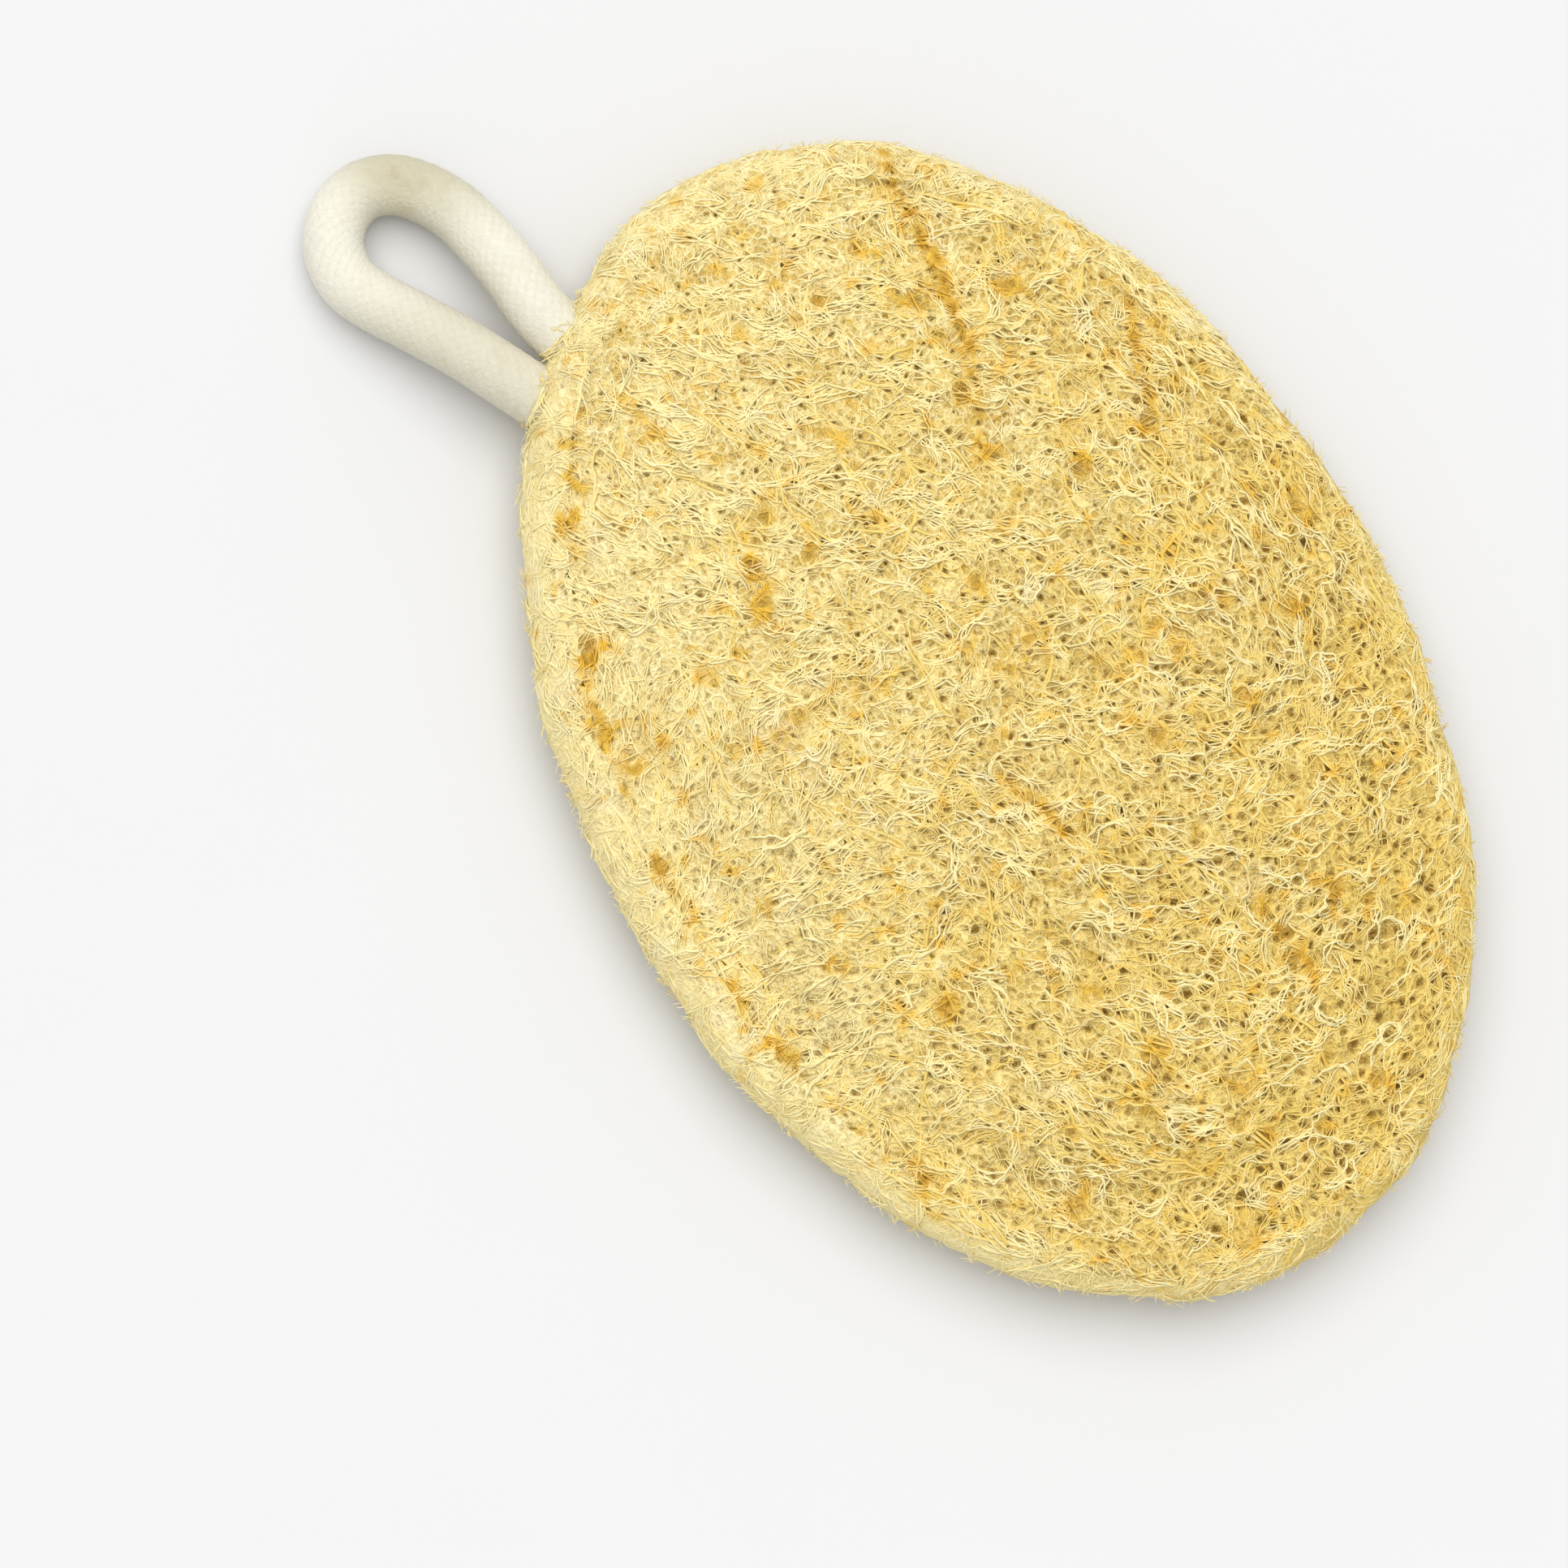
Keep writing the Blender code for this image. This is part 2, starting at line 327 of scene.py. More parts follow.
# %% Braid the rope
BRAID_YARNS = 14
BRAID_PITCH = 19 * MM
BRAID_DEPTH = 0.10 * MM
SOFT_RADIUS = 3.45 * MM
ROPE_SIDES = 72
TABLE_CLEARANCE = 0.02 * MM


def braid_height(turn, along):
    """The braid's relief, from 0 in its furrows to 1 on its crowns."""
    left = (turn / (2 * np.pi) + along / BRAID_PITCH) * BRAID_YARNS
    right = (turn / (2 * np.pi) - along / BRAID_PITCH) * BRAID_YARNS
    left_on_top = (np.floor(left) + np.floor(right)) % 2 == 0
    across = np.where(left_on_top, left, right) % 1
    lengthways = np.where(left_on_top, right, left) % 1
    return np.sqrt(np.sin(np.pi * across)) * (0.55 + 0.45 * np.sin(np.pi * lengthways))


def rope_mesh():
    """The rope as a capped tube, raised by the braid, with its relief kept on every point."""
    base = SOFT_RADIUS - BRAID_DEPTH
    mesh = sweep("rope", [rope_line], [np.full(len(rope_line), base)], ROPE_SIDES, caps=True)
    place = np.zeros(len(mesh.vertices) * 3)
    mesh.vertices.foreach_get("co", place)
    place = place.reshape(-1, 3)
    rings = len(rope_line)
    wall = place[: rings * ROPE_SIDES].reshape(rings, ROPE_SIDES, 3)
    out = (wall - rope_line[:, None]) / base
    turn = np.linspace(0, 2 * np.pi, ROPE_SIDES, endpoint=False)[None, :]
    along = (np.arange(rings) * RING_STEP)[:, None]
    height = braid_height(turn, along)
    inside_caps = np.ones((rings, 1))
    inside_caps[[0, -1]] = 0
    wall += out * (height * inside_caps * BRAID_DEPTH)[..., None]
    place[:, 2] = np.maximum(place[:, 2], TABLE_CLEARANCE)
    mesh.vertices.foreach_set("co", place.ravel())
    relief = mesh.attributes.new("relief", "FLOAT", "POINT")
    raised = np.zeros(len(place))
    raised[: rings * ROPE_SIDES] = height.ravel()
    relief.data.foreach_set("value", raised)
    close_up(mesh)
    return mesh


# %% Finish the cotton
# Where the loop is painted beige as shade: past its outer bend, at its top, near the pad, and on the
# lower of its two strands
PAST_BEND_X = (-37 * MM, -28 * MM)
TOP_Y = (74 * MM, 87 * MM)
NEAR_PAD_Y = (68 * MM, 82 * MM)
LOWER_STRAND_X = (-28 * MM, -22 * MM)
YARN_SHADE = (0.69, 0.645, 0.51, 1)
YARN_WHITE = (0.84, 0.82, 0.72, 1)
YARN_BEIGE_SHADE = (0.47, 0.425, 0.26, 1)


def cotton():
    """Matt, soft, unbleached cotton, cloudy in tone, with painted shade in the braid's furrows and beige
    painted shade on parts of the loop.
    """
    paint = Paint("braided_cotton")
    relief = paint.attribute("relief")
    lint = paint.noise(0.35 * MM, detail=4)
    cloud = paint.noise(2.2 * MM, detail=3)
    # The braid's furrows take the darker yarn colour as painted shade, mixed with random lint and cloud.
    yarn_share = (relief * 0.3 + lint * 0.45 + cloud * 0.65).between(0.2, 1.1)
    yarn = paint.mix(yarn_share, YARN_SHADE, YARN_WHITE)
    # Beige painted shade past the outer bend, at the top, near the pad and on the lower strand, with some
    # random cloud.
    past_bend = paint.axis("X").between(*PAST_BEND_X)
    towards_top = paint.axis("Y").between(*TOP_Y)
    near_pad = 1 - paint.axis("Y").between(*NEAR_PAD_Y)
    lower_strand = 1 - paint.axis("X").between(*LOWER_STRAND_X)
    beige_shade_and_cloud = past_bend * towards_top * 0.7 + near_pad * (lower_strand * 0.3 + 0.08)
    beige_shade_and_cloud = beige_shade_and_cloud + cloud.between(0.45, 0.75) * 0.2
    shaded = paint.mix(beige_shade_and_cloud, yarn, YARN_BEIGE_SHADE)
    fluff = paint.bump(lint + cloud * 0.6, 0.15 * MM, 0.9)
    paint.finish(Base_Color=shaded, Roughness=0.8 + lint * 0.15, Normal=fluff)
    paint.shader.inputs["Sheen Weight"].default_value = 0.25
    paint.shader.inputs["Specular IOR Level"].default_value = 0.2
    return paint.material


rope = add_piece("cotton_rope", rope_mesh(), cotton())
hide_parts("hanging_loop")

# %% [markdown]
# ## The pad's shape as a rule
#
# Thousands of fibres have to follow the pad's two faces and wrap round its rim. They could be
# dropped onto a mesh one by one, but a rule is faster and smoother. The pad is unrolled: a flat
# point near the middle is a place on a face, and one past the face's edge is a place further round
# the rim's roll. The same domes, channel, grooves and swellings as the plain part's give the height.
# Only the smallest waves of the edge are softened, because the fibres lie over them, and a shallow
# crease follows the rim.

# %% Give the pad's measures
HALF_WIDTH = pad_size.x / 2
HALF_LENGTH = pad_size.y / 2
SEAM_HEIGHT = 7.5 * MM
RIM_HALF_HEIGHT = 4.6 * MM
RIM_ROLL = 5.0 * MM
UNDERSIDE_DOME = 8.6 * MM
DOME_POWER = 2.6
CHANNEL_PLACE = 0.90
CHANNEL_WIDTH = 0.055
CHANNEL_DEPTH = 0.8 * MM
CHANNEL_SIDE_DEPTH = 0.5 * MM
CREASE_PLACE = 0.985
CREASE_WIDTH = 0.03
CREASE_DEPTH = 0.45 * MM
SMALLEST_RADIUS = 0.01 * MM
ROOT_CENTRE = (-24.4 * MM, 60.2 * MM)
ROOT_SWELL = 1.7 * MM
ROOT_REACH = 11 * MM

# How many waves go round the edge, how high they are, and where they start
EDGE_WAVES = (
    (3, 0.22 * MM, 2.3),
    (11, 0.22 * MM, 0.7),
    (19, 0.14 * MM, 4.1),
    (31, 0.08 * MM, 1.9),
)

# The faces' broad swellings: direction in degrees, wavelength, height and start
FACE_SWELLINGS = (
    (8, 27 * MM, 0.40 * MM, 0.4),
    (63, 34 * MM, 0.32 * MM, 2.2),
    (118, 22 * MM, 0.28 * MM, 5.0),
    (160, 41 * MM, 0.30 * MM, 3.1),
)

# Grooves in the upper face, in millimetres: route, depth, width
GROOVES = (
    (((20.0, 61.0), (19.4, 50.0), (17.4, 38.3), (11.9, 27.0)), 1.0, 2.6),
    (((36.2, 33.5), (33.8, 26.8), (30.6, 18.5)), 0.8, 2.4),
    (((-4.0, -6.5), (-1.0, -14.5)), 0.9, 2.8),
    (((14.0, -33.0), (15.4, -41.0)), 0.9, 2.8),
)


print("edge waves:", len(EDGE_WAVES), "grooves:", len(GROOVES))


# %% Find the edge and the faces
def edge_reach(flat):
    """How far the pad's edge lies from its middle, in the direction of each flat point."""
    angle = np.arctan2(flat[:, 1] / HALF_LENGTH, flat[:, 0] / HALF_WIDTH)
    wave = sum(height * np.cos(count * angle + start) for count, height, start in EDGE_WAVES)
    return np.hypot(HALF_WIDTH * np.cos(angle), HALF_LENGTH * np.sin(angle)) + wave


def from_route(flat, route):
    """How far each flat point lies from a route of points in millimetres."""
    nearest = np.full(len(flat), np.inf)
    for first, second in zip(route, route[1:]):
        start = np.array(first) * MM
        along = np.array(second) * MM - start
        share = np.clip((flat - start) @ along / (along @ along), 0, 1)
        away = np.linalg.norm(flat - start - share[:, None] * along, axis=1)
        nearest = np.minimum(nearest, away)
    return nearest


def face_half_height(flat, inward, upper):
    """How high the upper or lower face stands off the seam, at each share of the way to the rim."""
    dome = pad_size.z - SEAM_HEIGHT if upper else UNDERSIDE_DOME
    height = dome + (RIM_HALF_HEIGHT - dome) * inward**DOME_POWER
    radius = np.maximum(np.linalg.norm(flat, axis=1), SMALLEST_RADIUS)
    side = np.maximum(-flat[:, 0] / radius, 0)
    channel = CHANNEL_DEPTH + CHANNEL_SIDE_DEPTH * side
    height -= channel * np.exp(-(((inward - CHANNEL_PLACE) / CHANNEL_WIDTH) ** 2))
    for degrees, wavelength, swell, start in FACE_SWELLINGS:
        across = flat @ (math.cos(math.radians(degrees)), math.sin(math.radians(degrees)))
        wave = np.cos(2 * np.pi * across / wavelength + start)
        height += swell * wave * (1 - np.minimum(inward, 1) ** 4)
    if not upper:
        return np.minimum(height, SEAM_HEIGHT)
    crease = np.exp(-(((inward - CREASE_PLACE) / CREASE_WIDTH) ** 2))
    height -= CREASE_DEPTH * (0.35 + 0.65 * side) * crease
    for route, depth, width in GROOVES:
        height -= depth * MM * np.exp(-((from_route(flat, route) / (width * MM)) ** 2))
    return height


# %% Add small lumps
LUMP_COUNT = 14
LUMP_HEIGHT = 0.075 * MM
LUMP_SIZES = (2.2 * MM, 5.5 * MM)
lump_chance = np.random.default_rng(5)
lump_turns = lump_chance.uniform(0, 2 * np.pi, LUMP_COUNT)
lump_waves = 2 * np.pi / lump_chance.uniform(*LUMP_SIZES, LUMP_COUNT)
lump_starts = lump_chance.uniform(0, 2 * np.pi, LUMP_COUNT)


def felt_lumps(flat):
    """Small uneven lumps, from waves that cross each other in many directions."""
    x = flat[:, :1] * np.cos(lump_turns) * lump_waves
    y = flat[:, 1:] * np.sin(lump_turns) * lump_waves
    return LUMP_HEIGHT * np.sin(x + y + lump_starts).sum(1)


print("lump at the middle, mm:", round(float(felt_lumps(np.zeros((1, 2)))[0]) / MM, 2))


# %% Lay flat points on the pad
NORMAL_STEP = 0.05 * MM


def on_pad(flat, upper):
    """Where flat points land on the pad."""
    radius = np.maximum(np.linalg.norm(flat, axis=1), SMALLEST_RADIUS)
    face_reach = edge_reach(flat) - RIM_ROLL
    swell = ROOT_SWELL * np.exp(-((np.linalg.norm(flat - ROOT_CENTRE, axis=1) / ROOT_REACH) ** 4))
    turn = np.clip((radius - face_reach) / RIM_ROLL, 0, np.pi)
    rolled = face_reach + RIM_ROLL * np.sin(turn)
    reach = np.where(radius < face_reach, radius, rolled)
    lumps = felt_lumps(flat) * np.clip((face_reach - radius) / RIM_ROLL, 0, 1)
    on_face = face_half_height(flat, np.minimum(radius / face_reach, 1), upper) + swell + lumps
    height = np.where(radius < face_reach, on_face, (RIM_HALF_HEIGHT + swell) * np.cos(turn))
    place = np.zeros((len(flat), 3))
    place[:, :2] = flat * (reach / radius)[:, None]
    place[:, 2] = SEAM_HEIGHT + (height if upper else -height)
    return place


def lifted_on_pad(flat, lift, upper):
    """The same, but raised off the surface, or sunk into it where the lift is negative."""
    place = on_pad(flat, upper)
    along_x = on_pad(flat + (NORMAL_STEP, 0), upper) - place
    along_y = on_pad(flat + (0, NORMAL_STEP), upper) - place
    normal = np.cross(along_x, along_y) * (1 if upper else -1)
    normal /= np.maximum(np.linalg.norm(normal, axis=1), 1e-12)[:, None]
    return place + normal * lift[:, None]


print("edge, mm:", round(float(on_pad(np.array([[0.2, 0.0]]), True)[0, 0]) / MM, 1))

# %% [markdown]
# ## How the strands run
#
# The strands of a loofah don't lie at random: they sweep across the fruit in locks and swirl round
# the veins. A few listed marks give the direction at some places, and every other place takes a
# blend of the marks round it. Directions are blended as doubled angles, because a strand has no
# front end, so 10 and 190 degrees have to count as the same.

# %% Blend the marks
# Places in millimetres, and directions in degrees from +X
FLOW_MARKS = (
    (25, 47, 160), (39, 37, 110), (42, 26, 105), (14, 44, 155), (1, 38, 145), (23, 33, 135),
    (30, 23, 140), (35, 14, 100), (-20, 34, 130), (-7, 25, 160), (17, 17, 150), (24, 8, 155),
    (29, 0, 75), (-19, 21, 140), (-5, 14, 135), (16, 0, 155), (-32, 17, 50), (-17, 9, 5),
    (0, 3, 5), (2, -8, 120), (11, -13, 165), (27, -21, 10), (-36, 6, 55), (-18, -5, 175),
    (-9, -10, 105), (13, -22, 155), (-36, -8, 160), (-22, -17, 165), (-11, -23, 125), (-2, -31, 115),
    (9, -34, 165), (21, -41, 30), (-35, -22, 25), (-25, -29, 155), (-13, -36, 130), (-7, -43, 120),
    (3, -44, 0), (10, -54, 5), (-17, -47, 120), (-6, -56, 175),
)
FLOW_REACH = 8 * MM
FLOW_FLOOR = 1e-12


def flow_at(flat):
    """The strands' direction at flat points, as an angle from +X."""
    double = np.full((len(flat), 2), FLOW_FLOOR)
    for x, y, degrees in FLOW_MARKS:
        away = flat - (x * MM, y * MM)
        nearness = np.exp(-(away**2).sum(1) / (2 * FLOW_REACH**2))
        turn = math.radians(2 * degrees)
        double += nearness[:, None] * (math.cos(turn), math.sin(turn))
    return np.arctan2(double[:, 1], double[:, 0]) / 2


print("flow in the middle, degrees:", round(math.degrees(flow_at(np.zeros((1, 2)))[0])))

# %% [markdown]
# ## Pores and hollows
#
# The net is full of small dark pores, and here and there a wider hollow shows the amber fibre
# inside. They could be painted on, but then they would have no depth. Here each pore is a small
# slanting oval with a place, a size and a turn. The ground sinks in it and the fibres part round it,
# and the pore's dark brown and part of the hollow's amber are painted on as shade.

# %% List the hollows
chance = np.random.default_rng(20)

# Wider hollows that show plainly, in millimetres: place, half length, half width, turn in degrees
HOLLOWS = (
    (31, 21, 1.4, 0.9, 100), (21, 20, 1.3, 0.7, 160), (34, -5, 1.4, 1.2, 90), (6, 7, 1.3, 0.9, 100),
    (2, 5, 1.5, 1.0, 150), (20, -3, 1.3, 0.7, 165), (13, -10, 1.3, 0.9, 60), (24, -11, 1.1, 0.7, 120),
    (19, 1, 1.3, 0.7, 160), (4, 15, 1.1, 0.6, 60), (23, -36, 1.6, 0.8, 155), (14, -39, 1.5, 0.9, 75),
    (2, -48, 1.7, 1.1, 60), (-1, -52, 1.3, 0.7, 90), (1, -55, 1.3, 0.6, 120), (16, -56, 1.3, 0.8, 60),
    (12, -51, 1.1, 0.7, 20), (-8, -31, 1.5, 0.8, 60), (-4, -40, 1.4, 0.6, 115), (-9, -46, 1.3, 0.7, 130),
    (-7, -53, 1.2, 1.0, 0), (-21, -51, 1.5, 1.0, 150), (-6, -63, 1.6, 0.9, 150), (6, -35, 1.1, 0.7, 60),
    (12, 54, 1.2, 0.6, 10), (15, 45, 1.4, 0.8, 120), (14, 34, 1.3, 0.7, 60), (25, 42, 1.2, 0.8, 140),
    (-17, 29, 1.3, 0.7, 110), (-18, 25, 1.5, 0.6, 130), (-11, 27, 1.1, 0.7, 60), (-13, 33, 1.1, 0.6, 150),
    (-24, 11, 1.0, 0.6, 30), (-21, 12, 1.0, 0.6, 60), (-37, 30, 1.6, 1.0, 60), (-39, 17, 1.6, 0.9, 70),
    (-23, -24, 1.4, 0.9, 20), (5, 51, 1.0, 0.6, 150), (41, 4, 1.8, 0.9, 90), (-31, -14, 1.2, 0.7, 60),
)
print("hollows:", len(HOLLOWS))

# %% Scatter the pores
PORE_COUNT = 5400
TRIES_A_PORE = 12
PORE_STRAY = math.radians(30)
PORE_SPACING = 1.3 * MM
PORE_GAP = 0.5 * MM
SMALLEST_PORE = 0.30 * MM
LARGEST_PORE = 0.85 * MM
PORE_NARROWNESS = (0.42, 0.80)
PORE_REACH = 0.97
BAND_START = 0.90
HOLLOW_SHADE = 0.3
OPEN_IN_MIDDLE = 0.62
OPEN_AT_LEAST = 0.16
OPEN_ACROSS = 0.38 / (45 * MM)
OPEN_DOWN = 0.22 / (65 * MM)


def openness(x, y):
    """How open the net is: dense felt towards the picture's left, open towards its lower right."""
    across = x * math.cos(LEAN) - y * math.sin(LEAN)
    down = -x * math.sin(LEAN) - y * math.cos(LEAN)
    share = math.hypot(x / HALF_WIDTH, y / HALF_LENGTH)
    band = max(share - BAND_START, 0) / (1 - BAND_START)
    open_share = OPEN_IN_MIDDLE + OPEN_ACROSS * across + OPEN_DOWN * down
    return min(max(open_share, OPEN_AT_LEAST), 1) * (1 - 0.9 * band)


def scatter_pores():
    """Pores clear of each other: place, half length, half width, turn and depth of each."""
    pores = []
    cells = {}
    for x, y, length, width, turn in HOLLOWS:
        hollow = (x * MM, y * MM, length * MM, width * MM, math.radians(turn), HOLLOW_SHADE)
        cell = (round(hollow[0] / PORE_SPACING), round(hollow[1] / PORE_SPACING))
        cells.setdefault(cell, []).append(hollow)
        pores.append(hollow)
    for _ in range(PORE_COUNT * TRIES_A_PORE):
        if len(pores) >= PORE_COUNT:
            break
        x, y = chance.uniform(-1, 1, 2) * (HALF_WIDTH * PORE_REACH, HALF_LENGTH * PORE_REACH)
        outside = (x / HALF_WIDTH) ** 2 + (y / HALF_LENGTH) ** 2 > PORE_REACH**2
        if outside or chance.random() > openness(x, y):
            continue
        growth = chance.random() ** 2 * openness(x, y)
        size = SMALLEST_PORE + (LARGEST_PORE - SMALLEST_PORE) * growth
        column, row = round(x / PORE_SPACING), round(y / PORE_SPACING)
        near = []
        for beside in (-1, 0, 1):
            for above in (-1, 0, 1):
                near += cells.get((column + beside, row + above), [])
        if all(math.hypot(x - a, y - b) > PORE_GAP + length for a, b, length, *_ in near):
            narrow = size * chance.uniform(*PORE_NARROWNESS)
            turn = flow_at(np.array([(x, y)]))[0] + chance.normal(0, PORE_STRAY)
            pore = (x, y, size, narrow, turn, 0.45 + 0.55 * chance.random())
            cells.setdefault((column, row), []).append(pore)
            pores.append(pore)
    return np.array(pores)


pores = scatter_pores()
pore_tree = KDTree(len(pores))
for index, pore in enumerate(pores):
    pore_tree.insert((pore[0], pore[1], 0), index)
pore_tree.balance()
pore_cosine = np.cos(pores[:, 4])
pore_sine = np.sin(pores[:, 4])
print("pores:", len(pores))

# %% Look up the nearest pore
PORE_CORE = 0.15
PARTING = 3.0
PORE_LIP = 1.25


def from_pore(flat):
    """The nearest pore, the offset from its middle, and that offset in the pore's own half sizes."""
    nearest = np.array([pore_tree.find((x, y, 0))[1] for x, y in flat.tolist()])
    away = flat - pores[nearest, :2]
    cosine, sine = pore_cosine[nearest], pore_sine[nearest]
    lengthways = (away[:, 0] * cosine + away[:, 1] * sine) / pores[nearest, 2]
    across = (away[:, 1] * cosine - away[:, 0] * sine) / pores[nearest, 3]
    return nearest, away, np.hypot(lengthways, across)


def part_round(flat):
    """Pushes flat points out of the pore nearest to each."""
    nearest, away, distance = from_pore(flat)
    distance = np.maximum(distance, PORE_CORE)
    pushed = np.cbrt(distance**3 + PARTING)
    return pores[nearest, :2] + away * (pushed / distance)[:, None]


def pore_depth(flat):
    """How deep each point lies: 0 outside the pores, and the pore's own shade in its middle."""
    nearest, _, distance = from_pore(flat)
    share = np.clip(PORE_LIP - distance, 0, 1)
    return share * share * (3 - 2 * share) * pores[nearest, 5]


print("depth of the first hollow:", pore_depth(pores[:1, :2]))

# %% [markdown]
# ## Where the net is amber, and its painted shade
#
# Dry loofah is pale straw where it is thin, and golden amber where it is thick. In the hollows the
# amber is partly painted shade, and along the grooves and in the crease inside the rim it is painted
# shade. Every point of the pad carries how amber its place is, and how deep it lies in a pore, so that
# the ground and all the fibres over it agree.

# %% Find the amber and the rim's band
AMBER_SPREAD = 1.9
CREASE_SHADE_PLACE = 0.99
CREASE_SHADE_WIDTH = 0.038
GROOVE_SHADE_SPREAD = 0.5
BAND_PLACE = 0.99
BAND_WIDTH = 0.09


def amber_and_shade_at(place):
    """How amber the net is at each point: most in hollows, partly as painted shade, and as painted shade
    in grooves and in the crease inside the rim.
    """
    flat = place[:, :2]
    amber = np.zeros(len(flat))
    # Amber round each hollow, partly the net's own colour and partly painted shade.
    for x, y, length, width, turn in HOLLOWS:
        away = np.linalg.norm(flat - (x * MM, y * MM), axis=1)
        near = np.exp(-((away / (math.sqrt(length * width) * MM * AMBER_SPREAD)) ** 2))
        amber = np.maximum(amber, near)
    # Painted shade along each groove, darker in deeper grooves.
    for route, depth, width in GROOVES:
        near = np.exp(-((from_route(flat, route) / (width * GROOVE_SHADE_SPREAD * MM)) ** 2))
        amber = np.maximum(amber, depth * near)
    radius = np.linalg.norm(flat, axis=1)
    inward = radius / (edge_reach(flat) - RIM_ROLL)
    side = np.clip(-flat[:, 0] / np.maximum(radius, MM), 0, 1)
    angle = np.arctan2(flat[:, 1], flat[:, 0])
    # Painted shade in the crease inside the rim, in blotches, and strongest towards -X, where the crease
    # is deepest.
    blotches = np.clip(0.5 + 0.7 * np.sin(9 * angle) * np.sin(23 * angle + 1), 0, 1)
    channel = np.exp(-(((inward - CREASE_SHADE_PLACE) / CREASE_SHADE_WIDTH) ** 2)) * np.sqrt(side) * blotches
    amber = np.maximum(amber, channel)
    return np.where(place[:, 2] > SEAM_HEIGHT, amber, 0)


def band_at(place):
    """1 on the smooth pale band that the rim is rolled into, and 0 on the faces."""
    flat = place[:, :2]
    inward = np.linalg.norm(flat, axis=1) / (edge_reach(flat) - RIM_ROLL)
    share = np.clip((inward - BAND_PLACE) / BAND_WIDTH, 0, 1)
    return share * (0.65 + 0.35 * np.clip(-flat[:, 0] / HALF_WIDTH * 2, -1, 1))


first_hollow = np.array([(HOLLOWS[0][0] * MM, HOLLOWS[0][1] * MM, pad_size.z)])
print("amber in the first hollow:", amber_and_shade_at(first_hollow))


# %% Mark each point
def mark(mesh, tones):
    """Stores amber, pore, band and tone on every point."""
    place = np.zeros(len(mesh.vertices) * 3)
    mesh.vertices.foreach_get("co", place)
    place = place.reshape(-1, 3)
    values = {
        "amber": amber_and_shade_at(place),
        "pore": pore_depth(place[:, :2]),
        "band": band_at(place),
        "tone": tones,
    }
    for name, value in values.items():
        layer = mesh.attributes.new(name, "FLOAT", "POINT")
        layer.data.foreach_set("value", value)


# %% [markdown]
# ## The fibre's finish
#
# The colour of one fibre comes from its own tone, from fine grain along it, and from broad patches
# across the pad. It is paler and more closed towards the left of the picture, partly as its own
# paleness and partly as painted light, and deeper towards the lower right, partly as painted shade.
# Strands that lie low or over a pore are painted darker as shade.
# One flat colour would look like plastic. The surface is matt, with a faint fuzz.

# %% Mix the net's colours
PALE_FIBRE = (0.94, 0.82, 0.42, 1)
STRAW_FIBRE = (0.85, 0.65, 0.19, 1)
CREAM_FIBRE = (0.93, 0.83, 0.51, 1)
# The amber colours carry the amber marks, which are partly painted shade.
AMBER_FIBRE = (0.84, 0.53, 0.065, 1)
# Gold for the gaps between strands and brown for the pores are painted shade.
GAP_SHADE_GOLD = (0.68, 0.465, 0.11, 1)
PORE_SHADE_BROWN = (0.26, 0.145, 0.022, 1)
AMBER_CORE = (0.52, 0.285, 0.035, 1)

# How the net deepens from pale to deep straw with each metre across and along the pad, partly its own
# colour and partly painted shade
STRAW_AND_SHADE_ACROSS = 7.0
STRAW_AND_SHADE_ALONG = -8.5
PALER_LEFT_X = (-38 * MM, -10 * MM)
OPEN_X = (10 * MM, 36 * MM)


def net_colour(paint, tone, grain, gap_shade, pore):
    """Straw, cream, amber, gold and brown, mixed by place and by the marks that the mesh carries; the
    gold, the brown and part of the amber are painted shade.
    """
    patch = paint.noise(12 * MM, detail=3)
    cream_patches = paint.noise(4.5 * MM, detail=3)
    speck = paint.noise(2.8 * MM, detail=3)
    # Paler and denser towards the picture's left, partly the net's own paleness and partly painted light.
    # The painted shade in gaps and pores is weaker there and stronger in the open net to the right.
    paler_left = 1 - paint.axis("X").between(*PALER_LEFT_X)
    open_right = paint.axis("X").between(*OPEN_X)
    gap_shade = gap_shade * (1 - paler_left * 0.45 + open_right * 0.15)
    pore = pore * (1 - paler_left * 0.4)
    # Deeper straw towards the picture's lower right, partly the net's own colour and partly painted
    # shade.
    straw_and_shade = paint.axis("X") * STRAW_AND_SHADE_ACROSS + paint.axis("Y") * STRAW_AND_SHADE_ALONG - paler_left * 0.12
    band = paint.attribute("band")
    depth = (tone * 0.45 + grain * 0.2 + patch * 0.5 + straw_and_shade * 0.5 - band * 0.4).between(0.2, 1.0)
    straw = paint.mix(depth, PALE_FIBRE, STRAW_FIBRE)
    # Random cream patches, which also stand for pale ridges as painted highlight; more cream on the band,
    # less where the straw and shade deepen.
    paleness = cream_patches.between(0.52, 0.72) * 0.6 + band * 0.1 - straw_and_shade * 0.3
    cream = paint.mix(paleness.between(0, 1.1), straw, CREAM_FIBRE)
    patchy = paint.noise(1.5 * MM, detail=3).between(0.35, 0.62)
    # The amber marks, partly painted shade, broken up by fine random patches.
    marked = paint.attribute("amber") * (patchy * 0.7 + 0.4)
    amber = marked * 0.9 + speck.between(0.50, 0.72) * 0.8 - band * 0.25
    warm = paint.mix(amber.between(0.05, 1.1), cream, AMBER_FIBRE)
    core = paint.mix((marked + speck * 0.9).between(0.95, 1.6) * 0.7, warm, AMBER_CORE)
    # Painted shade: gold in the gaps between strands, and brown in the pores.
    return paint.mix(pore, paint.mix(gap_shade, core, GAP_SHADE_GOLD), PORE_SHADE_BROWN)


